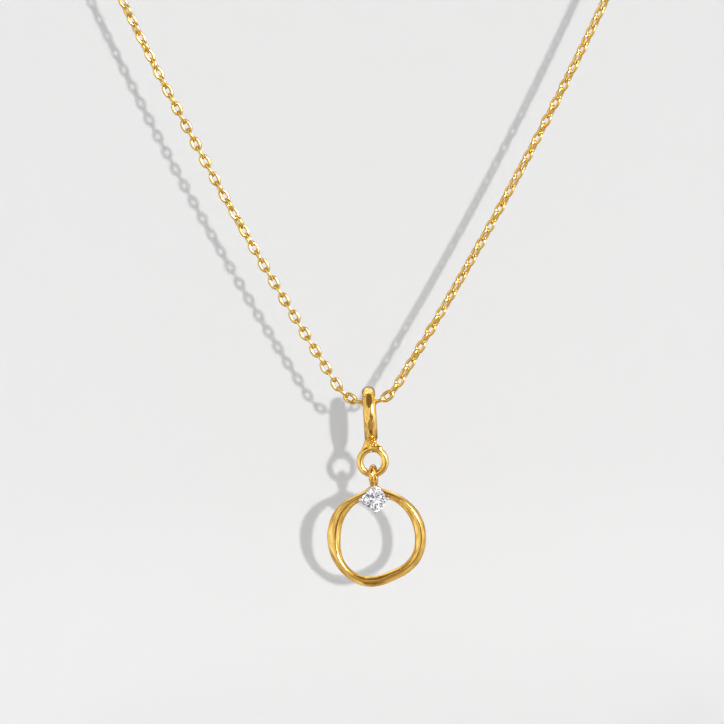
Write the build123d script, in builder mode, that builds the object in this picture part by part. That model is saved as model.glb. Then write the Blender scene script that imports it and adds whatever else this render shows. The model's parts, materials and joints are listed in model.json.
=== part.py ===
from build123d import *
import os
from math import atan2, cos, degrees, pi, radians, sin

# A fine cable-chain necklace with a ring bail and an open wavy circle pendant that carries
# one round brilliant in a four-prong setting. It hangs as it is worn: +Z is up, -Y faces the
# viewer, and the origin is the middle of the clasp, where the loop lies on the nape.
# All sizes are millimetres, all angles degrees.

# Chain links, and the play between one link and the next
link_length = 2.6
link_width = 1.8
link_wire = 0.4
link_end_radius = 0.64  # centre line of an oval link's narrow end
link_play = 0.14

# Loop: its length round, and the lines it takes from the pendant up to the nape
necklace_length = 400.0
bottom_radius = 5.6  # small curve where the chain turns in the bail
strand_angle = 32.1  # strand from plumb, where it leaves the bottom curve
strand_radius = 640.0  # the strand's own slow curve
loop_lean = 3.0  # the loop's centre line from plumb, its top to the right
clasp_margin = 3.2  # straight chain each side of the clasp

# Clasp: a plain spring-ring shape
clasp_ring_radius = 2.15
clasp_eye_radius = 0.8
clasp_eye_wire = 0.5
clasp_collar_radius = 0.3
clasp_collar_length = 0.18  # between the ring and the eye
clasp_lever_radius = 0.25
clasp_lever_height = 0.35  # above the ring
pass_gap = 0.12  # round a wire that passes through a link's end

# Bail: a thick ring on the chain, with a jump ring soldered under it
bail_hole_radius = 2.93
bail_thickness = 1.74
bail_width = 2.2
bail_play = 0.12  # between the chain and the top of the bail's hole
jump_radius = 2.12
jump_wire = 1.17
neck_height = 0.5  # from the bail's foot to the top of the jump ring
neck_top_radius = 0.62
neck_foot_width = 2.7
neck_foot_depth = 1.0

# Eye on top of the circle, through the jump ring
eye_hole_radius = 1.0
eye_wire = 0.98
eye_play = 0.1
eye_sink = 0.45  # how far the eye's foot is sunk into the circle
eye_turn = -12.0  # the eye's plane about the plumb line, from square to the circle

# Circle
circle_radius = 8.17
circle_front = 0.82  # from the middle plane to the crest
circle_back = 0.78
ridge_fullness = 0.585  # the band's front: 0.5 is two flat flanks, 0.707 an ellipse
back_fullness = 0.655

# Stone and setting
stone_diameter = 3.64
stone_drop = 2.21  # the stone's centre below the circle's highest point
stone_standoff = 0.12  # from the crest to the point of the stone
girdle_thickness = 0.08
stone_gap = 0.04
prong_wire = 0.5
prong_spread = 2.06  # a prong's tip from the stone's axis
prong_rise = 0.36  # a prong's tip in front of the girdle
base_radius = 0.74
base_thickness = 0.36
peg_radius = 0.5
peg_depth = 0.4
seat_gap = 0.05  # between the setting and the circle
gallery_wire = 0.3

# Link rolls: 0 shows the links beside the pendant's own one face on and edge on in turn, 45
# shows them all half turned. Each row: links from the pendant, left strand, right strand.
ROLLS = [
    {"links": 0, "left": 0.0, "right": 0.0},
    {"links": 2, "left": 12.0, "right": 12.0},
    {"links": 5, "left": 0.0, "right": 38.0},
    {"links": 9, "left": 0.0, "right": 22.0},
    {"links": 14, "left": 0.0, "right": 42.0},
    {"links": 19, "left": 8.0, "right": 40.0},
    {"links": 23, "left": 36.0, "right": 30.0},
    {"links": 28, "left": 8.0, "right": 42.0},
    {"links": 34, "left": 4.0, "right": 26.0},
    {"links": 40, "left": 22.0, "right": 40.0},
    {"links": 48, "left": 42.0, "right": 44.0},
    {"links": 70, "left": 20.0, "right": 20.0},
    {"links": 90, "left": 0.0, "right": 0.0},
]

# The circle's band, clockwise from the eye: outer and inner edge as shares of circle_radius,
# the front crest's place across the band, 0 at the outer edge and 1 at the inner one, and the
# band's middle in front of the middle plane, as a share of circle_front.
BAND = [
    {"angle": 8.0, "outer": 1.035, "inner": 0.785, "crest": 0.47, "forward": 0.0},
    {"angle": 20.0, "outer": 0.998, "inner": 0.820, "crest": 0.45, "forward": 0.0},
    {"angle": 45.0, "outer": 0.996, "inner": 0.800, "crest": 0.38, "forward": 0.10},
    {"angle": 70.0, "outer": 1.004, "inner": 0.773, "crest": 0.40, "forward": 0.14},
    {"angle": 95.0, "outer": 1.000, "inner": 0.771, "crest": 0.45, "forward": 0.06},
    {"angle": 120.0, "outer": 0.992, "inner": 0.778, "crest": 0.55, "forward": -0.06},
    {"angle": 140.0, "outer": 0.957, "inner": 0.747, "crest": 0.63, "forward": -0.12},
    {"angle": 160.0, "outer": 0.931, "inner": 0.716, "crest": 0.66, "forward": -0.06},
    {"angle": 180.0, "outer": 0.976, "inner": 0.749, "crest": 0.61, "forward": 0.04},
    {"angle": 200.0, "outer": 1.016, "inner": 0.804, "crest": 0.60, "forward": 0.12},
    {"angle": 220.0, "outer": 1.010, "inner": 0.827, "crest": 0.63, "forward": 0.10},
    {"angle": 245.0, "outer": 1.010, "inner": 0.798, "crest": 0.60, "forward": 0.0},
    {"angle": 270.0, "outer": 1.014, "inner": 0.745, "crest": 0.57, "forward": -0.10},
    {"angle": 290.0, "outer": 1.027, "inner": 0.751, "crest": 0.55, "forward": -0.12},
    {"angle": 315.0, "outer": 1.022, "inner": 0.792, "crest": 0.46, "forward": -0.04},
    {"angle": 340.0, "outer": 0.988, "inner": 0.814, "crest": 0.38, "forward": 0.0},
    {"angle": 352.0, "outer": 1.035, "inner": 0.785, "crest": 0.45, "forward": 0.0},
]
PEAK = {"angle": 0.0, "outer": 1.080, "inner": 0.680, "crest": 0.55, "forward": 0.0}

# Facets of a round brilliant: how many, the turn of the first, the slope from the table's
# plane, and the distance from the axis, at a height, that the facet passes through, as shares
# of the stone's radius. The crown is in front of the girdle, the pavilion behind it.
TABLE_SHARE = 0.57
CROWN_SHARE = 0.33
PAVILION_SHARE = 0.86
CROWN_FACETS = [
    {"count": 8, "turn": 0.0, "slope": 35.5, "reach": 0.985, "height": 0.0},
    {"count": 16, "turn": 11.25, "slope": 43.0, "reach": 0.975, "height": 0.0},
    {"count": 8, "turn": 22.5, "slope": 24.0, "reach": 0.527, "height": CROWN_SHARE},
]
PAVILION_FACETS = [
    {"count": 8, "turn": 0.0, "slope": 40.8, "reach": 0.985, "height": 0.0},
    {"count": 16, "turn": 11.25, "slope": 42.6, "reach": 0.980, "height": 0.0},
]

# Sizes that follow
link_pitch = link_length - 2 * link_wire - link_play
link_hook = (link_length - link_wire) / 2  # a link's centre to the wire of its end
clasp_wire = 2 * (link_end_radius - link_wire / 2 - pass_gap)
clasp_left = clasp_ring_radius - clasp_wire / 2 - link_wire / 2 - link_play + link_hook
clasp_eye_offset = (
    clasp_ring_radius + clasp_wire / 2 + clasp_collar_length + clasp_eye_wire / 2 + clasp_eye_radius
)
clasp_right = (
    clasp_eye_offset + clasp_eye_radius - clasp_eye_wire / 2 - link_wire / 2 - link_play + link_hook
)
clasp_reach = clasp_left + clasp_right  # between the last links' centres
side_links = 2 * round(((necklace_length - clasp_reach) / 2 / link_pitch - 1) / 2) + 1
half_loop = side_links * link_pitch + clasp_reach / 2
low_point = bottom_radius * radians(loop_lean)


def loop_stretches(strand_length):
    """(length, turn in radians) of each stretch from the loop's lowest tip up one side."""
    bottom_turn = radians(90 - strand_angle)
    strand_turn = strand_length / strand_radius
    flat = clasp_reach / 2 + clasp_margin
    neck_length = half_loop - bottom_radius * bottom_turn - strand_length - flat
    return [
        (bottom_radius * bottom_turn, bottom_turn),
        (strand_length, strand_turn),
        (neck_length, pi - bottom_turn - strand_turn),
        (flat, 0.0),
    ]


def walk(stretches, distance):
    """(x, z, heading) after distance along the stretches, from the lowest tip towards +X."""
    x, z, heading = 0.0, 0.0, 0.0
    for length, turn in stretches:
        step = min(distance, length)
        if turn:
            radius = length / turn
            after = heading + step / radius
            x += radius * (sin(after) - sin(heading))
            z += radius * (cos(heading) - cos(after))
            heading = after
        else:
            x += step * cos(heading)
            z += step * sin(heading)
        distance -= step
        if distance <= 0:
            break
    return x, z, heading


def closing_strand():
    """Length of a strand with which the two sides of the loop meet at its top."""
    low, high = 0.0, 0.9 * half_loop
    for _ in range(60):
        middle = (low + high) / 2
        if walk(loop_stretches(middle), half_loop)[0] < 0:
            low = middle
        else:
            high = middle
    return (low + high) / 2


STRETCHES = loop_stretches(closing_strand())


def loop_point(distance):
    """Leaning (x, z) at a signed distance along the loop from its tip, before it is placed."""
    distance = (distance + half_loop) % (2 * half_loop) - half_loop
    x, z, _ = walk(STRETCHES, abs(distance))
    x = x if distance >= 0 else -x
    lean = radians(loop_lean)
    return x * cos(lean) + z * sin(lean), z * cos(lean) - x * sin(lean)


nape_x, nape_z = loop_point(low_point + half_loop)


def roll_at(links, side):
    """Roll of the chain at a number of links from the pendant, from the table of rolls."""
    for before, after in zip(ROLLS, ROLLS[1:]):
        if links <= after["links"]:
            share = (links - before["links"]) / (after["links"] - before["links"])
            return before[side] + share * (after[side] - before[side])
    return ROLLS[-1][side]


def link_plane(index):
    """Where one link lies: its long axis along the loop, its roll a quarter turn from the next."""
    middle = low_point + index * link_pitch
    x0, z0 = loop_point(middle - link_pitch / 2)
    x1, z1 = loop_point(middle + link_pitch / 2)
    heading = atan2(z1 - z0, x1 - x0)
    roll = radians(roll_at(abs(index), "left" if index < 0 else "right") + 90 * (index % 2))
    return Plane(
        origin=((x0 + x1) / 2 - nape_x, 0, (z0 + z1) / 2 - nape_z),
        x_dir=(cos(heading), 0, sin(heading)),
        z_dir=(-sin(heading) * sin(roll), -cos(roll), cos(heading) * sin(roll)),
    )


# Where the pendant hangs: the middle of the loop's lowest link
lowest_link = link_plane(0).origin
chain_x = lowest_link.X
chain_z = lowest_link.Z

# One oval link, its centre line four tangent arcs
half_long = (link_length - link_wire) / 2
half_wide = (link_width - link_wire) / 2
end_offset = half_long - link_end_radius
side_bulge = 2 * (half_wide - link_end_radius)
end_turn = degrees(
    atan2(end_offset**2 + half_wide**2 - link_end_radius**2 - half_wide * side_bulge, end_offset * side_bulge)
)

with BuildPart() as link:
    with BuildLine() as oval:
        far_end = CenterArc((end_offset, 0), link_end_radius, -end_turn, 2 * end_turn)
        near_end = CenterArc((-end_offset, 0), link_end_radius, 180 - end_turn, 2 * end_turn)
        ThreePointArc(far_end @ 1, (0, half_wide), near_end @ 0)
        ThreePointArc(near_end @ 1, (0, -half_wide), far_end @ 0)
    with BuildSketch(Plane(origin=(half_long, 0, 0), z_dir=(0, 1, 0))):
        Circle(link_wire / 2)
    sweep(path=oval.wires()[0])

# Two strands that meet in the bail; the pendant's own link is in the left one
chain_left = Compound(
    children=[link.part.moved(link_plane(index).location) for index in range(-side_links, 1)]
)
chain_right = Compound(
    children=[link.part.moved(link_plane(index).location) for index in range(1, side_links + 1)]
)

# Clasp, on the straight top of the loop
top_heading = radians(-loop_lean)
clasp_x_dir = (cos(top_heading), 0, sin(top_heading))
clasp_plane = Plane(origin=(0, 0, 0), x_dir=clasp_x_dir, z_dir=(0, -1, 0))
ring_x = clasp_left - clasp_reach / 2

with BuildPart(clasp_plane) as clasp:
    with Locations((ring_x, 0)):
        Torus(clasp_ring_radius, clasp_wire / 2)
    with Locations((ring_x + clasp_eye_offset, 0)):
        Torus(clasp_eye_radius, clasp_eye_wire / 2)
    with Locations(Location((ring_x + clasp_ring_radius, 0, 0), (0, 90, 0))):
        Cylinder(
            clasp_collar_radius,
            clasp_eye_offset - clasp_eye_radius - clasp_ring_radius,
            align=(Align.CENTER, Align.CENTER, Align.MIN),
        )
    with Locations(Location((ring_x, clasp_ring_radius, 0), (-90, 0, 0))):
        Cylinder(
            clasp_lever_radius,
            clasp_wire / 2 + clasp_lever_height,
            align=(Align.CENTER, Align.CENTER, Align.MIN),
        )

# Heights down the pendant's plumb line
bail_radius = bail_hole_radius + bail_thickness / 2
bail_z = chain_z + link_width / 2 + bail_play - bail_hole_radius
bail_foot_z = bail_z - bail_radius - bail_thickness / 2
jump_z = bail_foot_z - neck_height - jump_wire / 2 - jump_radius
jump_low_z = jump_z - jump_radius
eye_z = jump_low_z + jump_wire / 2 + eye_play - eye_hole_radius
eye_foot_z = eye_z - eye_hole_radius - eye_wire
circle_top_z = eye_foot_z + eye_sink
circle_z = circle_top_z - PEAK["outer"] * circle_radius
stone_z = circle_top_z - stone_drop

# Bail with its jump ring: one soldered piece
with BuildPart() as bail:
    with BuildSketch(Plane.XZ.shift_origin((chain_x, 0, bail_z))):
        with Locations((0, bail_radius)):
            Ellipse(bail_width / 2, bail_thickness / 2)
    revolve(axis=Axis((chain_x, 0, bail_z), (1, 0, 0)))
    with Locations((chain_x, 0, jump_z)):
        Torus(jump_radius, jump_wire / 2, rotation=(90, 0, 0))
    with BuildSketch(Plane((chain_x, 0, bail_foot_z + bail_thickness / 2))):
        Circle(neck_top_radius)
    with BuildSketch(Plane((chain_x, 0, jump_z + jump_radius))):
        Ellipse(neck_foot_width / 2, neck_foot_depth / 2)
    loft()


def band_plane(row):
    """Plane across the band at its angle: x outwards from the circle's centre, y to the front."""
    angle = radians(row["angle"])
    middle = (row["outer"] + row["inner"]) / 2 * circle_radius
    return Plane(
        origin=(
            chain_x + middle * sin(angle),
            -row["forward"] * circle_front,
            circle_z + middle * cos(angle),
        ),
        x_dir=(sin(angle), 0, cos(angle)),
        z_dir=(cos(angle), 0, -sin(angle)),
    )


def band_outline(row):
    """Eight points round the band's section: a crest in front, a rounded back."""
    half = (row["outer"] - row["inner"]) / 2 * circle_radius
    crest = half * (1 - 2 * row["crest"])
    ridge = ridge_fullness
    back = back_fullness
    return [
        (half, 0),
        (crest + (half - crest) * ridge, circle_front * ridge),
        (crest, circle_front),
        (crest - (half + crest) * ridge, circle_front * ridge),
        (-half, 0),
        (-half * back, -circle_back * back),
        (0, -circle_back),
        (half * back, -circle_back * back),
    ]


# Circle: the long way round in one loft, then the peak under the eye, which the stone hides
with BuildPart() as circle:
    for rows in (BAND, [BAND[-1], PEAK, BAND[0]]):
        for row in rows:
            with BuildSketch(band_plane(row)):
                with BuildLine():
                    Spline(*band_outline(row), periodic=True)
                make_face()
        loft()
    with Locations(Location((chain_x, 0, eye_z), (0, 0, eye_turn)) * Location((0, 0, 0), (0, 90, 0))):
        Torus(eye_hole_radius + eye_wire / 2, eye_wire / 2)
    with Locations(Plane(origin=(chain_x, peg_depth - circle_front, stone_z), z_dir=(0, -1, 0))):
        Cylinder(
            peg_radius + seat_gap,
            peg_depth + circle_front,
            align=(Align.CENTER, Align.CENTER, Align.MIN),
            mode=Mode.SUBTRACT,
        )

# Stone, cut on its own axis with the table towards +Z
stone_radius = stone_diameter / 2
crown_height = CROWN_SHARE * stone_radius
pavilion_depth = PAVILION_SHARE * stone_radius


def facet_plane(facet, index, side):
    """Plane of one facet, its normal outwards; side is 1 for the crown, -1 for the pavilion."""
    turn = radians(facet["turn"] + 360 / facet["count"] * index)
    slope = radians(facet["slope"])
    reach = facet["reach"] * stone_radius
    height = side * (facet["height"] * stone_radius + girdle_thickness / 2)
    return Plane(
        origin=(reach * cos(turn), reach * sin(turn), height),
        z_dir=(sin(slope) * cos(turn), sin(slope) * sin(turn), side * cos(slope)),
    )


with BuildPart() as brilliant:
    with BuildSketch(Plane.XY.offset(-pavilion_depth - girdle_thickness)):
        Circle(stone_radius)
    extrude(amount=pavilion_depth + crown_height + 1.5 * girdle_thickness)
    for facets, side in ((CROWN_FACETS, 1), (PAVILION_FACETS, -1)):
        for facet in facets:
            for index in range(facet["count"]):
                split(bisect_by=facet_plane(facet, index, side), keep=Keep.BOTTOM)

crest_y = -circle_front
girdle_y = crest_y - stone_standoff - pavilion_depth - girdle_thickness / 2
stone_plane = Plane(origin=(chain_x, girdle_y, stone_z), x_dir=(1, 0, 0), z_dir=(0, -1, 0))

with BuildPart(stone_plane) as stone:
    add(brilliant.part)

# Setting: peg, base, gallery ring and four prongs, notched for the stone
base_back = crest_y - girdle_y - seat_gap  # from the girdle back to the base's foot
prong_foot = base_radius - prong_wire / 2
gallery_share = 0.55
gallery_radius = prong_foot + gallery_share * (prong_spread - prong_foot)

with BuildPart() as prong:
    with BuildLine() as prong_line:
        Polyline(
            (prong_foot, 0, base_thickness / 2 - base_back),
            (prong_spread, 0, -prong_wire / 4),
            (prong_spread, 0, prong_rise),
        )
    with BuildSketch(Plane(prong_line.edges()[0] @ 0, z_dir=prong_line.edges()[0] % 0)):
        Circle(prong_wire / 2)
    sweep(path=prong_line.wires()[0], transition=Transition.ROUND)
    with Locations((prong_spread, 0, prong_rise)):
        Sphere(prong_wire / 2)

with BuildPart() as stone_room:
    with BuildSketch(Plane.XZ):
        with BuildLine():
            Polyline(
                (0, -pavilion_depth - 2 * stone_gap),
                (stone_radius + stone_gap, -girdle_thickness / 2 - stone_gap),
                (stone_radius + stone_gap, girdle_thickness / 2 + stone_gap),
                (TABLE_SHARE * stone_radius, crown_height + girdle_thickness + stone_gap),
                (0, crown_height + girdle_thickness + stone_gap),
                close=True,
            )
        make_face()
    revolve(axis=Axis.Z)

with BuildPart() as head:
    with Locations((0, 0, -base_back - peg_depth)):
        Cylinder(peg_radius, peg_depth + base_thickness / 2, align=(Align.CENTER, Align.CENTER, Align.MIN))
    with Locations((0, 0, -base_back)):
        Cylinder(base_radius, base_thickness, align=(Align.CENTER, Align.CENTER, Align.MIN))
    with PolarLocations(0, 4):
        add(prong.part)
    with Locations((0, 0, -base_back * (1 - gallery_share))):
        Torus(gallery_radius, gallery_wire / 2)
    add(stone_room.part, mode=Mode.SUBTRACT)

with BuildPart(stone_plane) as setting:
    add(head.part)

os.makedirs("parts", exist_ok=True)
chain_left.label = "chain_left"
chain_right.label = "chain_right"
export_step(chain_left, "parts/chain_left.step")
export_step(chain_right, "parts/chain_right.step")
clasp.part.label = "clasp"
export_step(clasp.part, "parts/clasp.step")
bail.part.label = "bail"
export_step(bail.part, "parts/bail.step")
circle.part.label = "circle"
export_step(circle.part, "parts/circle.step")
setting.part.label = "setting"
export_step(setting.part, "parts/setting.step")
stone.part.label = "stone"
export_step(stone.part, "parts/stone.step")
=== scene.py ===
import json
import math

import bmesh
import bpy
import numpy as np
from mathutils import Matrix, Vector


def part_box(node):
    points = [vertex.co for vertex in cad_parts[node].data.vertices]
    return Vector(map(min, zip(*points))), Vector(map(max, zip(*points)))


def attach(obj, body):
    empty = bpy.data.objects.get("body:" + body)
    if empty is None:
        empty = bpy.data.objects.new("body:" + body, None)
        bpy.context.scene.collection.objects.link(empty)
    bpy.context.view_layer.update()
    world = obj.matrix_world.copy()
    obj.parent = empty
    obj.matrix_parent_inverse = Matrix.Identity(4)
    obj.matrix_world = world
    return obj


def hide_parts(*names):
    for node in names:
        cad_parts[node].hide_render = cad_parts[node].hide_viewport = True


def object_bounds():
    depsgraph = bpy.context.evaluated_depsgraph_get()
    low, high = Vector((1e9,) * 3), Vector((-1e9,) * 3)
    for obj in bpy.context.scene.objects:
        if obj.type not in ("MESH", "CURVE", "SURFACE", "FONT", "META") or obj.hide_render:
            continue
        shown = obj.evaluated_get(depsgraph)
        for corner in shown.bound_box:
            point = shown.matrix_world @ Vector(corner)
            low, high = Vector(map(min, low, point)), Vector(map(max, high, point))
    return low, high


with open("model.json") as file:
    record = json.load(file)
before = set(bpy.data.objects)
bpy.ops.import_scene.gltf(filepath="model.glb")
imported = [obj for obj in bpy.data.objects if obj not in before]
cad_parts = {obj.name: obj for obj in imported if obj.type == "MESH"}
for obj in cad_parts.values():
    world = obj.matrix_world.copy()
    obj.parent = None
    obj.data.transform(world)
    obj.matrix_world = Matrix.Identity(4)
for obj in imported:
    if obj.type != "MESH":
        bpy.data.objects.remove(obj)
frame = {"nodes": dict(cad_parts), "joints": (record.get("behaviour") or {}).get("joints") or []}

# A wavy circle pendant with one round stone, hanging by a ring bail from its chain. Metres, +Z
# up, the viewer at -Y. The frame's solids give each piece its place and size.
MM = 0.001
cad_low, cad_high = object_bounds()

# The photograph's view: pixels of its 724-pixel frame, and how the real thing hangs in it
PHOTO_SIZE = 724
PHOTO_PIXELS_PER_MM = 6.0
PHOTO_CHAIN_BOTTOM = (369.1, 402.9)  # middle of the link that the bail hangs on
PHOTO_LEAN = 3.4  # degrees, the pendant's line in the photograph from plumb
CAMERA_DISTANCE = 560 * MM
SENSOR = 36.0

# Distances of the studio
WALL_BEHIND = 37 * MM  # clear of the pendant when it swings up to the back
FLOOR_BELOW = 42 * MM
COVE = 60 * MM  # radius of the bend between wall and floor
COVE_STEPS = 16
STUDIO_WIDTH = 3000 * MM
STUDIO_HEIGHT = 1500 * MM
STUDIO_DEPTH = 1800 * MM
PAINT_LEVEL = 0.82
PAINT_ROUGHNESS = 0.9
PAINT_GLOSS = 0.1

# Suns, each as wide in the sky as its angle in degrees: the key light glints on glossy surfaces
# alone, from the right, the front and a little above. On matt surfaces alone, one near the
# camera lays the shadow beside the pendant, and one above lights the floor.
KEY_DIRECTION = (0.62, -0.74, 0.30)
LAMPS = [
    {
        "name": "key_glint",
        "towards": KEY_DIRECTION,
        "strength": 3.4,
        "angle": 20.0,
        "colour": (1.0, 0.97, 0.92),
        "lights": "glossy",
    },
    {
        "name": "shadow_lamp",
        "towards": (0.15, -1.0, 0.05),
        "strength": 1.27,
        "angle": 1.2,
        "colour": (1.0, 1.0, 1.0),
        "lights": "matt",
    },
    {
        "name": "floor_lamp",
        "towards": (0.0, -0.1, 1.0),
        "strength": 0.8,
        "angle": 6.0,
        "colour": (1.0, 1.0, 1.0),
        "lights": "matt",
    },
]

# Levels of the room: on matt surfaces, seen by the camera, and in metal away from any card
ROOM_MATT = 0.45
ROOM_SEEN = 0.82
ROOM_METAL = 0.72
ROOM_TINT = (1.0, 1.0, 1.0)
# What metal mirrors round the room: pale cards that add their level, the last one the glow round
# the key light, and dark flags that multiply by theirs, each with the cosines of its edge and core
CARDS = [
    {"towards": (-1.0, -0.25, 0.0), "edge": 0.93, "core": 0.985, "level": 0.24},
    {"towards": (-0.75, -0.65, 0.15), "edge": 0.60, "core": 0.85, "level": 0.14},
    {"towards": (1.0, -0.3, 0.1), "edge": 0.84, "core": 0.92, "level": 0.35},
    {"towards": (0.0, -1.0, 0.15), "edge": 0.94, "core": 0.975, "level": 0.35},
    {"towards": (0.0, 0.5, 0.86), "edge": 0.84, "core": 0.92, "level": 0.50},
    {"towards": KEY_DIRECTION, "edge": 0.89, "core": 0.98, "level": 2.4},
]
FLAGS = [
    {"towards": (0.38, -0.92, 0.02), "edge": 0.88, "core": 0.93, "level": 0.38},
    {"towards": (0.0, -0.45, 0.89), "edge": 0.78, "core": 0.84, "level": 0.3},
    {"towards": (0.0, -0.62, -0.78), "edge": 0.82, "core": 0.87, "level": 0.55},
    {"towards": (0.0, -0.1, -1.0), "edge": 0.93, "core": 0.97, "level": 0.5},
    {"towards": (0.0, -1.0, -0.10), "edge": 0.993, "core": 0.997, "level": 0.35},
    {"towards": (0.0, 1.0, -0.2), "edge": 0.55, "core": 0.85, "level": 0.42},
]
# Soft patches of noise, dark at the low value and light at the high one: the rest of the room in
# what metal mirrors, and the small grey patches that break up the light in the stone
CLUTTER = {"scale": 4.0, "detail": 2.0, "low": 0.36, "high": 0.62, "dark": 0.74, "light": 1.3}
STONE_ROOM = {"scale": 14.0, "detail": 1.0, "low": 0.45, "high": 0.56, "dark": 0.12, "light": 1.4}
STONE_TINT = (0.93, 0.94, 1.0)
# Dim mirrored light is also warmer: powers of its level for green and for blue
DIM_GREEN = 1.18
DIM_BLUE = 1.5

# Metals: the colour of clear polish, the deeper one of cloudy polish, and how they are polished.
# Smooth and Dull are the roughness of clear and of cloudy polish.
METALS = {
    "polished_gold": {
        "bright": (0.97, 0.64, 0.18),
        "deep": (0.88, 0.54, 0.13),
        "polish": {"Waviness": 0.05, "Wave scale": 420.0, "Scratches": 0.02, "Smooth": 0.07, "Dull": 0.14},
    },
    "brushed_gold": {
        "bright": (0.95, 0.64, 0.195),
        "deep": (0.86, 0.54, 0.14),
        "polish": {"Waviness": 0.12, "Wave scale": 420.0, "Scratches": 0.1, "Smooth": 0.07, "Dull": 0.15},
    },
    "chain_gold": {
        "bright": (0.94, 0.65, 0.21),
        "deep": (0.86, 0.54, 0.13),
        "polish": {"Waviness": 0.2, "Wave scale": 700.0, "Scratches": 0.05, "Smooth": 0.1, "Dull": 0.2},
    },
    "white_metal": {
        "bright": (0.90, 0.89, 0.91),
        "deep": (0.72, 0.71, 0.74),
        "polish": {"Waviness": 0.1, "Wave scale": 900.0, "Scratches": 0.1, "Smooth": 0.08, "Dull": 0.16},
    },
}
# The polish itself: its waves, the hair scratches' turned and stretched noise, and its clouds
WAVE_DETAIL = 1.0
WAVE_DEPTH = 0.05 * MM
HAIR_TURN = (0.5, 0.3, 0.8)
HAIR_STRETCH = (1.0, 14.0, 1.0)
HAIR_SCALE = 900.0
HAIR_DETAIL = 3.0
HAIR_DEPTH = 0.004 * MM
CLOUD_SCALE = 380.0
CLOUD_DETAIL = 4.0
CLOUD_LOW = 0.42
CLOUD_HIGH = 0.68
# Polishing lines that run round the circle: their number in a metre, how far one wanders across
# the lines beside it in a turn, the noise values of a hollow and of a ridge, and their depth
LINES_PER_METRE = 4000.0
LINE_WANDER = 2.0
LINE_DETAIL = 3.0
LINE_ROUGHNESS = 0.6
LINE_HOLLOW = 0.35
LINE_RIDGE = 0.65
LINE_DEPTH = 0.03 * MM
LINE_STRENGTH = 0.45
# The darker gold painted into the polishing lines' hollows as their shade
HOLLOW_SHADE_GOLD = (0.72, 0.42, 0.09)
# The stone's glass
STONE_COLOUR = (0.97, 0.98, 1.0)
STONE_INDEX = 2.3
HAZE_SCALE = 1400.0
HAZE_DETAIL = 2.0
HAZE_ROUGHNESS = 0.03

# Chain links: how much thicker their wire is drawn than the loose solids', how full their ends
# are, and their faces
LINK_WIRE_GAIN = 1.45
LINK_END_FULLNESS = 1.2
LINK_STEPS = 4
LINK_WIRE_STEPS = 1

# Joints of the soldered pieces melt together at these voxel sizes, and are evened out in rounds
BAIL_VOXEL = 0.058 * MM
BAIL_ROUNDS = 16
FOOT_ROUNDS = 36
GRAIN_ROUNDS = 10
CIRCLE_VOXEL = 0.067 * MM
CIRCLE_ROUNDS = 18
SETTING_VOXEL = 0.035 * MM
SETTING_ROUNDS = 10
CLASP_VOXEL = 0.045 * MM
CLASP_ROUNDS = 4
SMOOTH_SHARE = 0.5  # how far a round moves a corner towards its neighbours
SEAM_MERGE = 1e-7
BALL_SIDES = 24
BALL_RINGS = 16
ROD_SIDES = 32

# The circle's front crest is rounded over where the skin faces the viewer: a weight for each
# least share of the normal that points forwards
CREST_ROUNDS = 70
CREST_SOFTNESS = [(0.25, 0.35), (0.5, 0.45), (0.75, 0.55), (1.0, 0.65)]

# Solder at the bail's foot, from the jump ring's centre: grains, the web on the left and the
# ring's raised wire end on the right
SOLDER_GRAINS = [
    {"across": -0.12, "up": 3.32, "front": 1.04, "radius": 0.34},
    {"across": 0.50, "up": 3.28, "front": 0.98, "radius": 0.31},
    {"across": -0.32, "up": 2.83, "front": 0.86, "radius": 0.21},
    {"across": 0.18, "up": 2.76, "front": 0.88, "radius": 0.23},
    {"across": 0.66, "up": 2.72, "front": 0.78, "radius": 0.20},
    {"across": 0.92, "up": 3.02, "front": 0.66, "radius": 0.20},
]
WEB = {"from": (-0.55, 3.9), "to": (-1.55, 1.6), "radius": 0.40}
WIRE_END = {"from": (0.75, 2.35), "to": (1.35, 2.15), "radius": 0.50}
FOOT_LOW = 1.5
FOOT_HIGH = 4.6

# Claws, by the turn about the stone's axis: how far out the post and the tip that holds the
# stone stand, and the tip's size, in millimetres; a claw with shoulders also holds the stone's
# edge on either side of its tip, this many degrees away
CLAWS = [
    {"turn": 0.0, "post": 2.06, "tip": 1.74, "radius": 0.26, "shoulders": []},
    {"turn": 90.0, "post": 2.06, "tip": 1.74, "radius": 0.27, "shoulders": [-32, 32]},
    {"turn": 180.0, "post": 2.20, "tip": 2.38, "radius": 0.32, "shoulders": [-24, 24]},
    {"turn": 270.0, "post": 2.10, "tip": 1.78, "radius": 0.27, "shoulders": [-34, 34]},
]
POST_BEHIND_TABLE = 0.24
TIP_BEHIND_TABLE = 0.34
SHOULDER_BEHIND_TABLE = 0.58
SHOULDER_OUT = 1.87
SHOULDER_RADIUS = 0.17

# The brilliant's cut: each row's side, the table's (-1) or the one behind the girdle (1), its
# number of facets, the turn of the first, their slope from the table's plane, and the point
# they pass through, out from the axis and off the girdle, as shares of the stone's radius.
# Behind the girdle it has twice a plain brilliant's facets.
BLANK_SIDES = 64
GIRDLE_BEHIND_TABLE = 0.352
FACETS = [
    {"side": -1, "count": 8, "turn": 0.0, "slope": 35.5, "reach": 0.985, "height": 0.022},
    {"side": -1, "count": 16, "turn": 11.25, "slope": 43.0, "reach": 0.975, "height": 0.022},
    {"side": -1, "count": 8, "turn": 22.5, "slope": 24.0, "reach": 0.527, "height": 0.352},
    {"side": 1, "count": 16, "turn": 0.0, "slope": 40.8, "reach": 0.985, "height": 0.022},
    {"side": 1, "count": 32, "turn": 5.625, "slope": 42.6, "reach": 0.980, "height": 0.022},
]
CUT_MERGE = 1e-7

joints = {joint["name"]: Vector(joint["pos_m"]) for joint in frame["joints"]}
chain_middle = joints["bail_swing"]
ring_middle = joints["pendant_sway"]


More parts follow.
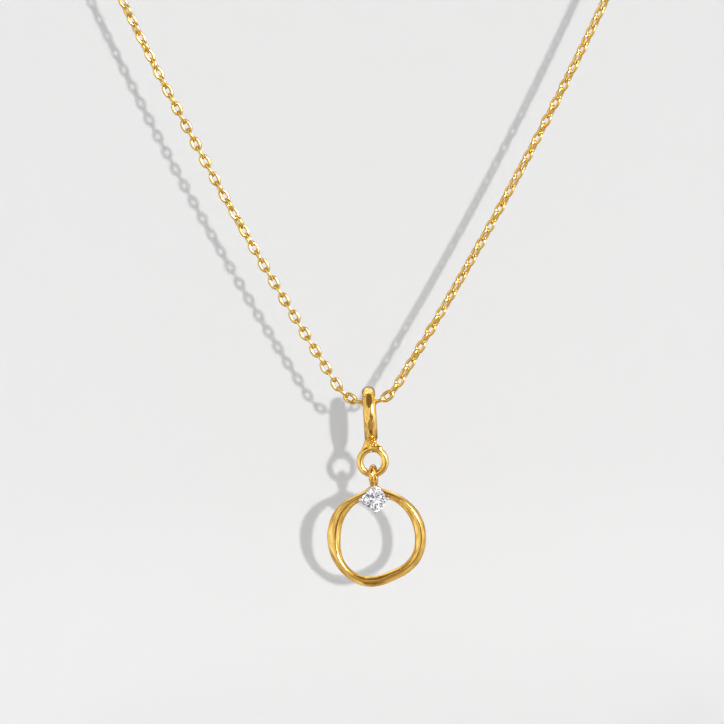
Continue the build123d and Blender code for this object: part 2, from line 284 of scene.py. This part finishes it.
def pick_only(*objects):
    """Leaves just these objects selected, the first one active."""
    bpy.ops.object.select_all(action="DESELECT")
    for piece in objects:
        piece.select_set(True)
    bpy.context.view_layer.objects.active = objects[0]


def apply_modifiers(piece):
    pick_only(piece)
    for modifier in list(piece.modifiers):
        bpy.ops.object.modifier_apply(modifier=modifier.name)


def place_in_mesh(piece):
    """Moves the object's place, turn and scale into its mesh."""
    pick_only(piece)
    bpy.ops.object.transform_apply(location=True, rotation=True, scale=True)


def join_as(name, pieces):
    """One object made of these pieces."""
    pick_only(*pieces)
    if len(pieces) > 1:
        bpy.ops.object.join()
    joined = bpy.context.view_layer.objects.active
    joined.name = name
    joined.data.name = name
    return joined


def copy_of_node(name, node):
    """A merged copy of a CAD node's mesh, as a new object."""
    mesh = frame["nodes"][node].data.copy()
    mesh.materials.clear()
    piece = bpy.data.objects.new(name, mesh)
    bpy.context.scene.collection.objects.link(piece)
    pick_only(piece)
    bpy.ops.object.mode_set(mode="EDIT")
    bpy.ops.mesh.select_all(action="SELECT")
    bpy.ops.mesh.remove_doubles(threshold=SEAM_MERGE)
    bpy.ops.object.mode_set(mode="OBJECT")
    return piece


def soften(piece, rounds, group=""):
    """Evens out the skin, all of it or just a group of its corners."""
    smooth = piece.modifiers.new("soften", "SMOOTH")
    smooth.factor = SMOOTH_SHARE
    smooth.iterations = rounds
    smooth.vertex_group = group
    apply_modifiers(piece)


def fuse(piece, voxel, rounds):
    """Melts a piece's joined forms into one skin, softened where they meet."""
    remesh = piece.modifiers.new("skin", "REMESH")
    remesh.mode = "VOXEL"
    remesh.voxel_size = voxel
    remesh.use_smooth_shade = True
    apply_modifiers(piece)
    soften(piece, rounds)
    return piece


def finish_piece(piece, body, material, slot, *nodes):
    """Dresses a piece, lets it ride on its body and stand for its CAD nodes."""
    piece.data.materials.clear()
    piece.data.materials.append(material)
    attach(piece, body)
    if nodes:
        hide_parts(*nodes)
    return piece


# Materials


def feed(tree, socket, value):
    """Sets an input to a plain value, or links it to another node's output."""
    if isinstance(value, bpy.types.NodeSocket):
        tree.links.new(value, socket)
    else:
        socket.default_value = value


def object_place(tree):
    """Places on the piece, in metres."""
    return tree.nodes.new("ShaderNodeTexCoord").outputs["Object"]


def noise(tree, place, scale, detail, roughness=0.5):
    """A noise texture's value at these places."""
    texture = tree.nodes.new("ShaderNodeTexNoise")
    feed(tree, texture.inputs["Vector"], place)
    feed(tree, texture.inputs["Scale"], scale)
    texture.inputs["Detail"].default_value = detail
    texture.inputs["Roughness"].default_value = roughness
    return texture.outputs["Fac"]


def remap(tree, value, low, high, to_low=0.0, to_high=1.0, smooth=False):
    """Spreads low to high over to_low to to_high, and holds what lies past them."""
    ramp = tree.nodes.new("ShaderNodeMapRange")
    if smooth:
        ramp.interpolation_type = "SMOOTHSTEP"
    ramp.inputs["From Min"].default_value = low
    ramp.inputs["From Max"].default_value = high
    ramp.inputs["To Min"].default_value = to_low
    ramp.inputs["To Max"].default_value = to_high
    feed(tree, ramp.inputs["Value"], value)
    return ramp.outputs["Result"]


def mixed(tree, kind, share, first, second):
    """A mix of two levels or two colours, with this share of the second."""
    mix = tree.nodes.new("ShaderNodeMix")
    mix.data_type = kind
    feed(tree, mix.inputs["Factor"], share)
    feed(tree, mix.inputs["A"], first)
    feed(tree, mix.inputs["B"], second)
    return mix.outputs["Result"]


def maths(tree, operation, first, second):
    node = tree.nodes.new("ShaderNodeMath")
    node.operation = operation
    feed(tree, node.inputs[0], first)
    feed(tree, node.inputs[1], second)
    return node.outputs["Value"]


def vector_maths(tree, operation, output, *vectors):
    node = tree.nodes.new("ShaderNodeVectorMath")
    node.operation = operation
    for socket, vector in zip(node.inputs, vectors):
        feed(tree, socket, vector)
    return node.outputs[output]


def vector_of(tree, **parts):
    """A vector from its parts by axis, such as X=radius. An axis that isn't named is 0."""
    node = tree.nodes.new("ShaderNodeCombineXYZ")
    for axis, value in parts.items():
        feed(tree, node.inputs[axis], value)
    return node.outputs["Vector"]


def relief(tree, depth, strength, height, normal=None):
    """A normal tilted by a height that changes over the surface."""
    bump = tree.nodes.new("ShaderNodeBump")
    bump.inputs["Distance"].default_value = depth
    feed(tree, bump.inputs["Strength"], strength)
    feed(tree, bump.inputs["Height"], height)
    if normal is not None:
        feed(tree, bump.inputs["Normal"], normal)
    return bump.outputs["Normal"]


def effect_group(name, takes, gives):
    """A new shader group with its input node's outputs and its output node's inputs."""
    group = bpy.data.node_groups.new(name, "ShaderNodeTree")
    for way, sockets in (("INPUT", takes), ("OUTPUT", gives)):
        for label, kind in sockets.items():
            group.interface.new_socket(name=label, in_out=way, socket_type=kind)
    given = group.nodes.new("NodeGroupInput").outputs
    result = group.nodes.new("NodeGroupOutput").inputs
    return group, given, result


def polish_group():
    """Hand polish: a faint waviness, hair scratches and cloudy spots of duller metal."""
    group, given, result = effect_group(
        "hand_polish",
        takes={
            "Waviness": "NodeSocketFloat",
            "Wave scale": "NodeSocketFloat",
            "Scratches": "NodeSocketFloat",
            "Smooth": "NodeSocketFloat",
            "Dull": "NodeSocketFloat",
        },
        gives={
            "Roughness": "NodeSocketFloat",
            "Cloud": "NodeSocketFloat",
            "Normal": "NodeSocketVector",
        },
    )
    place = object_place(group)
    waves = noise(group, place, given["Wave scale"], WAVE_DETAIL)

    turned = group.nodes.new("ShaderNodeMapping")
    turned.inputs["Rotation"].default_value = HAIR_TURN
    turned.inputs["Scale"].default_value = HAIR_STRETCH
    feed(group, turned.inputs["Vector"], place)
    hairs = noise(group, turned.outputs["Vector"], HAIR_SCALE, HAIR_DETAIL)

    clouds = noise(group, place, CLOUD_SCALE, CLOUD_DETAIL)
    cloud = remap(group, clouds, CLOUD_LOW, CLOUD_HIGH, smooth=True)
    roughness = mixed(group, "FLOAT", cloud, given["Smooth"], given["Dull"])
    waved = relief(group, WAVE_DEPTH, given["Waviness"], waves)
    scratched = relief(group, HAIR_DEPTH, given["Scratches"], hairs, waved)
    feed(group, result["Cloud"], cloud)
    feed(group, result["Roughness"], roughness)
    feed(group, result["Normal"], scratched)
    return group


def brushing_group():
    """Fine polishing lines that run round a ring: they follow its radius and its depth."""
    group, given, result = effect_group(
        "ring_brushing",
        takes={
            "Place": "NodeSocketVector",
            "Strength": "NodeSocketFloat",
            "Normal": "NodeSocketVector",
        },
        gives={"Lines": "NodeSocketFloat", "Normal": "NodeSocketVector"},
    )
    parts = group.nodes.new("ShaderNodeSeparateXYZ")
    feed(group, parts.inputs["Vector"], given["Place"])
    spoke = vector_of(group, X=parts.outputs["X"], Z=parts.outputs["Z"])
    radius = vector_maths(group, "LENGTH", "Value", spoke)
    across = vector_of(
        group,
        X=maths(group, "MULTIPLY", radius, LINES_PER_METRE),
        Y=maths(group, "MULTIPLY", parts.outputs["Y"], LINES_PER_METRE),
    )
    direction = vector_maths(group, "NORMALIZE", "Vector", spoke)
    wander = vector_maths(group, "MULTIPLY", "Vector", direction, (LINE_WANDER,) * 3)
    lookup = vector_maths(group, "ADD", "Vector", across, wander)
    lines = noise(group, lookup, 1.0, LINE_DETAIL, LINE_ROUGHNESS)
    feed(group, result["Lines"], remap(group, lines, LINE_HOLLOW, LINE_RIDGE))
    normal = relief(group, LINE_DEPTH, given["Strength"], lines, given["Normal"])
    feed(group, result["Normal"], normal)
    return group


def new_material(name):
    """A new material, with its node tree and its shader."""
    material = bpy.data.materials.new(name)
    material.use_nodes = True
    tree = material.node_tree
    return material, tree, tree.nodes["Principled BSDF"]


def metal(name, polish):
    """A polished metal whose colour deepens a little where its polish is cloudy."""
    look = METALS[name]
    material, tree, shader = new_material(name)
    finish = tree.nodes.new("ShaderNodeGroup")
    finish.node_tree = polish
    for label, value in look["polish"].items():
        finish.inputs[label].default_value = value
    cloud = finish.outputs["Cloud"]
    colour = mixed(tree, "RGBA", cloud, (*look["bright"], 1), (*look["deep"], 1))
    shader.inputs["Metallic"].default_value = 1.0
    feed(tree, shader.inputs["Base Color"], colour)
    feed(tree, shader.inputs["Roughness"], finish.outputs["Roughness"])
    feed(tree, shader.inputs["Normal"], finish.outputs["Normal"])
    return material


def brush_round(material, brushing, middle):
    """Adds brushed lines round a middle to a polished metal, with shade painted into their hollows as a
    darker gold.
    """
    tree = material.node_tree
    shader = tree.nodes["Principled BSDF"]
    polished_colour = shader.inputs["Base Color"].links[0].from_socket
    polished_normal = shader.inputs["Normal"].links[0].from_socket
    centred = tree.nodes.new("ShaderNodeMapping")
    centred.inputs["Location"].default_value = -middle
    feed(tree, centred.inputs["Vector"], object_place(tree))
    lines = tree.nodes.new("ShaderNodeGroup")
    lines.node_tree = brushing
    lines.inputs["Strength"].default_value = LINE_STRENGTH
    feed(tree, lines.inputs["Place"], centred.outputs["Vector"])
    feed(tree, lines.inputs["Normal"], polished_normal)
    # Painted shade: the colour turns to the darker gold in the lines' hollows
    hollow_shaded = mixed(tree, "RGBA", lines.outputs["Lines"], (*HOLLOW_SHADE_GOLD, 1), polished_colour)
    feed(tree, shader.inputs["Base Color"], hollow_shaded)
    feed(tree, shader.inputs["Normal"], lines.outputs["Normal"])


def cut_stone():
    """Clear brilliant: glass of a high index, with a breath of haze on its facets."""
    material, tree, shader = new_material("brilliant")
    shader.inputs["Base Color"].default_value = (*STONE_COLOUR, 1)
    shader.inputs["Transmission Weight"].default_value = 1.0
    shader.inputs["IOR"].default_value = STONE_INDEX
    haze = noise(tree, object_place(tree), HAZE_SCALE, HAZE_DETAIL)
    roughness = remap(tree, haze, 0.0, 1.0, to_high=HAZE_ROUGHNESS)
    feed(tree, shader.inputs["Roughness"], roughness)
    return material


def pale_paint():
    """Matt pale paint, clear from behind, for the wall and the floor."""
    material, tree, shader = new_material("pale_backdrop")
    shader.inputs["Base Color"].default_value = (PAINT_LEVEL, PAINT_LEVEL, PAINT_LEVEL, 1)
    shader.inputs["Roughness"].default_value = PAINT_ROUGHNESS
    shader.inputs["Specular IOR Level"].default_value = PAINT_GLOSS
    clear = tree.nodes.new("ShaderNodeBsdfTransparent")
    sides = tree.nodes.new("ShaderNodeNewGeometry")
    mix = tree.nodes.new("ShaderNodeMixShader")
    feed(tree, mix.inputs["Fac"], sides.outputs["Backfacing"])
    feed(tree, mix.inputs[1], shader.outputs["BSDF"])
    feed(tree, mix.inputs[2], clear.outputs["BSDF"])
    feed(tree, tree.nodes["Material Output"].inputs["Surface"], mix.outputs["Shader"])
    return material


# Chain


def solids_of(node):
    """The corners of each loose solid in a CAD node, as arrays, in the mesh's own order."""
    shape = bmesh.new()
    shape.from_mesh(frame["nodes"][node].data)
    bmesh.ops.remove_doubles(shape, verts=shape.verts, dist=SEAM_MERGE)
    seen = set()
    solids = []
    for start in shape.verts:
        if start in seen:
            continue
        seen.add(start)
        found = [start]
        for corner in found:
            for edge in corner.link_edges:
                other = edge.other_vert(corner)
                if other not in seen:
                    seen.add(other)
                    found.append(other)
        solids.append(np.array([corner.co for corner in found]))
    shape.free()
    return solids


def link_place(corners):
    """(matrix, sizes) of a link: its long axis X, its width Y and its thickness Z."""
    _, axes = np.linalg.eigh(np.cov(corners.T))
    long, wide = axes[:, 2], axes[:, 1]
    turn = np.column_stack((long, wide, np.cross(long, wide)))
    flat = corners @ turn
    low, high = flat.min(0), flat.max(0)
    middle = turn @ ((low + high) / 2)
    return Matrix.Translation(middle) @ Matrix(turn.tolist()).to_4x4(), high - low


def oval_link(sizes):
    """One link lying flat at the origin, drawn as a round wire bent to an oval."""
    length, width, wire = sizes
    wire *= LINK_WIRE_GAIN
    bpy.ops.object.select_all(action="DESELECT")
    bpy.ops.curve.primitive_bezier_circle_add(radius=1.0, enter_editmode=True)
    link = bpy.context.active_object
    half_long, half_wide = (length - wire) / 2, (width - wire) / 2
    bpy.ops.curve.select_all(action="SELECT")
    bpy.ops.transform.resize(value=(half_long, half_wide, 1), center_override=(0, 0, 0))
    bpy.ops.curve.select_all(action="DESELECT")
    for point in link.data.splines[0].bezier_points:
        if abs(point.co.x) > half_long / 2:
            point.select_control_point = True
            point.select_left_handle = True
            point.select_right_handle = True
    bpy.ops.transform.resize(value=(1, LINK_END_FULLNESS, 1), center_override=(0, 0, 0))
    bpy.ops.object.mode_set(mode="OBJECT")
    link.data.resolution_u = LINK_STEPS
    link.data.bevel_depth = wire / 2
    link.data.bevel_resolution = LINK_WIRE_STEPS
    pick_only(link)
    bpy.ops.object.convert(target="MESH")
    bpy.ops.object.shade_smooth()
    return link


def chain_strand(name, node, gold):
    """A copy of the link at each loose solid of a chain node, all in one piece."""
    places = [link_place(corners) for corners in solids_of(node)]
    sizes = np.median([sizes for _, sizes in places], axis=0)
    first = oval_link(sizes)
    links = []
    for matrix, _ in places:
        link = bpy.data.objects.new(name, first.data.copy())
        bpy.context.scene.collection.objects.link(link)
        link.matrix_world = matrix
        links.append(link)
    bpy.data.objects.remove(first)
    bpy.context.view_layer.update()
    for link in links:
        link.data.transform(link.matrix_world)
        link.matrix_world = Matrix.Identity(4)
    strand = join_as(name, links)
    return finish_piece(strand, "chain", gold, "gold", node)


# Pendant


def add_ball(spot, radius):
    bpy.ops.object.select_all(action="DESELECT")
    bpy.ops.mesh.primitive_uv_sphere_add(
        segments=BALL_SIDES,
        ring_count=BALL_RINGS,
        radius=radius,
        location=spot,
    )
    return bpy.context.active_object


def add_rod(start, end, radius):
    """A round rod between two points."""
    along = Vector(end) - Vector(start)
    bpy.ops.object.select_all(action="DESELECT")
    bpy.ops.mesh.primitive_cylinder_add(
        vertices=ROD_SIDES,
        radius=radius,
        depth=along.length,
        location=(Vector(start) + Vector(end)) / 2,
        rotation=along.to_track_quat("Z", "Y").to_euler(),
    )
    return bpy.context.active_object


def from_ring(across, up, front=0.0):
    """A point by its millimetres from the jump ring's centre, front towards the viewer."""
    return ring_middle + Vector((across, -front, up)) * MM


def add_capsule(form):
    """A rod with round ends between two points beside the jump ring."""
    start, end = from_ring(*form["from"]), from_ring(*form["to"])
    radius = form["radius"] * MM
    return [add_rod(start, end, radius), add_ball(start, radius), add_ball(end, radius)]


def ring_bail(gold):
    """The bail with its jump ring: one soldered piece, with the solder's web and grains."""
    forms = [copy_of_node("ring_bail", "bail"), *add_capsule(WEB), *add_capsule(WIRE_END)]
    bail = fuse(join_as("ring_bail", forms), BAIL_VOXEL, BAIL_ROUNDS)
    foot = bail.vertex_groups.new(name="foot")
    low, high = from_ring(0, FOOT_LOW).z, from_ring(0, FOOT_HIGH).z
    corners = [corner.index for corner in bail.data.vertices if low < corner.co.z < high]
    foot.add(corners, 1.0, "REPLACE")
    soften(bail, FOOT_ROUNDS, "foot")
    forms = [bail]
    for grain in SOLDER_GRAINS:
        spot = from_ring(grain["across"], grain["up"], grain["front"])
        forms.append(add_ball(spot, grain["radius"] * MM))
    bail = fuse(join_as("ring_bail", forms), BAIL_VOXEL, GRAIN_ROUNDS)
    return finish_piece(bail, "bail", gold, "gold", "bail")


def wavy_circle(gold):
    """The open circle with the eye on its peak."""
    circle = fuse(copy_of_node("wavy_circle", "circle"), CIRCLE_VOXEL, CIRCLE_ROUNDS)
    front = circle.vertex_groups.new(name="front")
    for weight, facing in CREST_SOFTNESS:
        corners = [corner.index for corner in circle.data.vertices if -corner.normal.y > facing]
        front.add(corners, weight, "REPLACE")
    soften(circle, CREST_ROUNDS, "front")
    return finish_piece(circle, "pendant", gold, "gold", "circle")


def around_stone(turn, out, behind_table):
    """A point by its turn about the stone's axis and its millimetres out and behind the table."""
    low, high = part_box("stone")
    axis = (low + high) / 2
    angle = math.radians(turn)
    outwards = Vector((math.cos(angle), 0, math.sin(angle)))
    return Vector((axis.x, low.y, axis.z)) + (outwards * out + Vector((0, behind_table, 0))) * MM


def claw_setting(white_metal):
    """Four claws on a gallery, softened where they join."""
    forms = [copy_of_node("claw_setting", "setting")]
    for claw in CLAWS:
        foot = around_stone(claw["turn"], claw["post"], POST_BEHIND_TABLE)
        tip = around_stone(claw["turn"], claw["tip"], TIP_BEHIND_TABLE)
        forms.append(add_rod(foot, tip, claw["radius"] * MM))
        forms.append(add_ball(foot, claw["radius"] * MM))
        forms.append(add_ball(tip, claw["radius"] * MM))
        for side in claw["shoulders"]:
            shoulder = around_stone(claw["turn"] + side, SHOULDER_OUT, SHOULDER_BEHIND_TABLE)
            forms.append(add_rod(foot, shoulder, SHOULDER_RADIUS * MM))
            forms.append(add_ball(shoulder, SHOULDER_RADIUS * MM))
    setting = fuse(join_as("claw_setting", forms), SETTING_VOXEL, SETTING_ROUNDS)
    return finish_piece(setting, "pendant", white_metal, "white_metal", "setting")


def round_brilliant(clear):
    """The stone, cut facet by facet from a round blank, table to the front."""
    low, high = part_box("stone")
    middle = (low + high) / 2
    radius = (high.x - low.x) / 2
    bpy.ops.object.select_all(action="DESELECT")
    bpy.ops.mesh.primitive_cylinder_add(
        vertices=BLANK_SIDES,
        radius=radius,
        depth=high.y - low.y,
        location=middle,
        rotation=(math.radians(90), 0, 0),
    )
    stone = join_as("round_brilliant", [bpy.context.active_object])
    place_in_mesh(stone)
    girdle = Vector((middle.x, low.y + GIRDLE_BEHIND_TABLE * radius, middle.z))
    bpy.ops.object.mode_set(mode="EDIT")
    for cut in FACETS:
        backwards = Vector((0, cut["side"], 0))
        slope = math.radians(cut["slope"])
        for index in range(cut["count"]):
            turn = math.radians(cut["turn"] + 360 / cut["count"] * index)
            outwards = Vector((math.cos(turn), 0, math.sin(turn)))
            bpy.ops.mesh.select_all(action="SELECT")
            bpy.ops.mesh.bisect(
                plane_co=girdle + radius * (cut["reach"] * outwards + cut["height"] * backwards),
                plane_no=math.sin(slope) * outwards + math.cos(slope) * backwards,
                use_fill=True,
                clear_outer=True,
                threshold=CUT_MERGE,
            )
    bpy.ops.mesh.select_all(action="SELECT")
    bpy.ops.mesh.normals_make_consistent(inside=False)
    bpy.ops.object.mode_set(mode="OBJECT")
    return finish_piece(stone, "pendant", clear, "clear_stone", "stone")


def spring_clasp(gold):
    """The clasp at the nape: a ring, its eye and a lever."""
    clasp = fuse(copy_of_node("spring_clasp", "clasp"), CLASP_VOXEL, CLASP_ROUNDS)
    return finish_piece(clasp, "chain", gold, "gold", "clasp")


# Studio


def photo_point(x, y):
    """The place in the pendant's plane that a pixel of the photograph shows."""
    right = (x - PHOTO_CHAIN_BOTTOM[0]) / PHOTO_PIXELS_PER_MM * MM
    down = (y - PHOTO_CHAIN_BOTTOM[1]) / PHOTO_PIXELS_PER_MM * MM
    lean = math.radians(PHOTO_LEAN)
    return Vector(
        (
            chain_middle.x + right * math.cos(lean) - down * math.sin(lean),
            0,
            chain_middle.z - right * math.sin(lean) - down * math.cos(lean),
        )
    )


def add_camera():
    """The photograph's camera, straight on. Gives back the middle of its view."""
    half = PHOTO_SIZE / 2
    middle = photo_point(half, half)
    bpy.ops.object.camera_add()
    camera = bpy.context.active_object
    camera.name = "photo_view"
    camera.location = middle + Vector((0, -CAMERA_DISTANCE, 0))
    camera.rotation_euler = (math.radians(90), math.radians(PHOTO_LEAN), 0)
    camera.data.sensor_width = SENSOR
    view_width = PHOTO_SIZE / PHOTO_PIXELS_PER_MM * MM
    camera.data.lens = SENSOR * CAMERA_DISTANCE / view_width
    bpy.context.scene.camera = camera
    return middle


def add_backdrop(paint, middle, floor_z):
    """One pale sheet: a wall that bends forwards into the floor."""
    bpy.ops.object.select_all(action="DESELECT")
    bpy.ops.mesh.primitive_plane_add(
        size=1,
        location=(middle.x, WALL_BEHIND, floor_z + COVE + STUDIO_HEIGHT / 2),
        rotation=(math.radians(90), 0, 0),
    )
    backdrop = bpy.context.active_object
    backdrop.name = "backdrop"
    backdrop.scale = (STUDIO_WIDTH, STUDIO_HEIGHT, 1)
    place_in_mesh(backdrop)
    bpy.ops.object.mode_set(mode="EDIT")
    bpy.ops.mesh.select_all(action="DESELECT")
    shape = bmesh.from_edit_mesh(backdrop.data)
    for corner in shape.verts:
        corner.select = corner.co.z < floor_z + 2 * COVE
    shape.select_flush(True)
    bmesh.update_edit_mesh(backdrop.data)
    bpy.ops.mesh.spin(
        steps=COVE_STEPS,
        angle=math.radians(90),
        center=(middle.x, WALL_BEHIND - COVE, floor_z + COVE),
        axis=(1, 0, 0),
    )
    bpy.ops.mesh.extrude_region_move(TRANSFORM_OT_translate={"value": (0, -STUDIO_DEPTH, 0)})
    bpy.ops.object.mode_set(mode="OBJECT")
    bpy.ops.object.shade_smooth()
    backdrop.data.materials.append(paint)
    backdrop.visible_glossy = False
    backdrop.visible_transmission = False


def add_sun(lamp):
    """A sun that lights only glossy surfaces or only matt ones."""
    bpy.ops.object.light_add(type="SUN")
    light = bpy.context.active_object
    light.name = lamp["name"]
    light.data.energy = lamp["strength"]
    light.data.angle = math.radians(lamp["angle"])
    light.data.color = lamp["colour"]
    light.rotation_euler = Vector(lamp["towards"]).to_track_quat("Z", "Y").to_euler()
    light.visible_diffuse = lamp["lights"] == "matt"
    light.visible_glossy = lamp["lights"] == "glossy"


def level_towards(tree, place, card, level_off, level_on):
    """level_off away from a card or flag, turning to level_on across its edge."""
    towards = Vector(card["towards"]).normalized()
    facing = vector_maths(tree, "DOT_PRODUCT", "Value", place, towards)
    return remap(tree, facing, card["edge"], card["core"], level_off, level_on, smooth=True)


def patches(tree, place, pattern):
    """Soft patches of noise, from a pattern's dark level to its light one."""
    value = noise(tree, place, pattern["scale"], pattern["detail"])
    return remap(tree, value, pattern["low"], pattern["high"], pattern["dark"], pattern["light"])


def mirrored_room(tree, place):
    """How bright the room is in metal: its level with cards, flags and patches."""
    level = ROOM_METAL
    for card in CARDS:
        level = maths(tree, "ADD", level, level_towards(tree, place, card, 0.0, card["level"]))
    for flag in FLAGS:
        shade = level_towards(tree, place, flag, 1.0, flag["level"])
        level = maths(tree, "MULTIPLY", level, shade)
    return maths(tree, "MULTIPLY", level, patches(tree, place, CLUTTER))


def add_world():
    """A pale room: even on matt surfaces, with a level of its own in metal and in the stone."""
    world = bpy.data.worlds.new("pale_room")
    world.use_nodes = True
    bpy.context.scene.world = world
    tree = world.node_tree
    background = tree.nodes["Background"]
    place = tree.nodes.new("ShaderNodeTexCoord").outputs["Generated"]
    rays = tree.nodes.new("ShaderNodeLightPath").outputs

    mirrored = mirrored_room(tree, place)
    stone_room = patches(tree, place, STONE_ROOM)
    level = mixed(tree, "FLOAT", rays["Is Glossy Ray"], ROOM_MATT, mirrored)
    level = mixed(tree, "FLOAT", rays["Is Transmission Ray"], level, stone_room)
    level = mixed(tree, "FLOAT", rays["Is Camera Ray"], level, ROOM_SEEN)
    feed(tree, background.inputs["Strength"], level)

    warmth = tree.nodes.new("ShaderNodeCombineColor")
    warmth.inputs["Red"].default_value = 1.0
    feed(tree, warmth.inputs["Green"], maths(tree, "POWER", mirrored, DIM_GREEN - 1))
    feed(tree, warmth.inputs["Blue"], maths(tree, "POWER", mirrored, DIM_BLUE - 1))
    metal_tint = warmth.outputs["Color"]
    tint = mixed(tree, "RGBA", rays["Is Glossy Ray"], (*ROOM_TINT, 1), metal_tint)
    tint = mixed(tree, "RGBA", rays["Is Transmission Ray"], tint, (*STONE_TINT, 1))
    feed(tree, background.inputs["Color"], tint)


middle = add_camera()
add_world()
add_backdrop(pale_paint(), middle, cad_low.z - FLOOR_BELOW)
for lamp in LAMPS:
    add_sun(lamp)
bpy.context.scene.view_settings.view_transform = "Standard"

polish = polish_group()
gold = metal("polished_gold", polish)
circle_gold = metal("brushed_gold", polish)
circle_low, circle_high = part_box("circle")
circle_middle = (circle_low + circle_high) / 2
circle_middle.z = circle_low.z + (circle_high.x - circle_low.x) / 2  # the eye is on its top
brush_round(circle_gold, brushing_group(), circle_middle)
chain_gold = metal("chain_gold", polish)
white_metal = metal("white_metal", polish)
brilliant = cut_stone()

chain_strand("left_strand", "chain_left", chain_gold)
chain_strand("right_strand", "chain_right", chain_gold)

ring_bail(gold)
wavy_circle(circle_gold)
claw_setting(white_metal)
round_brilliant(brilliant)
spring_clasp(gold)
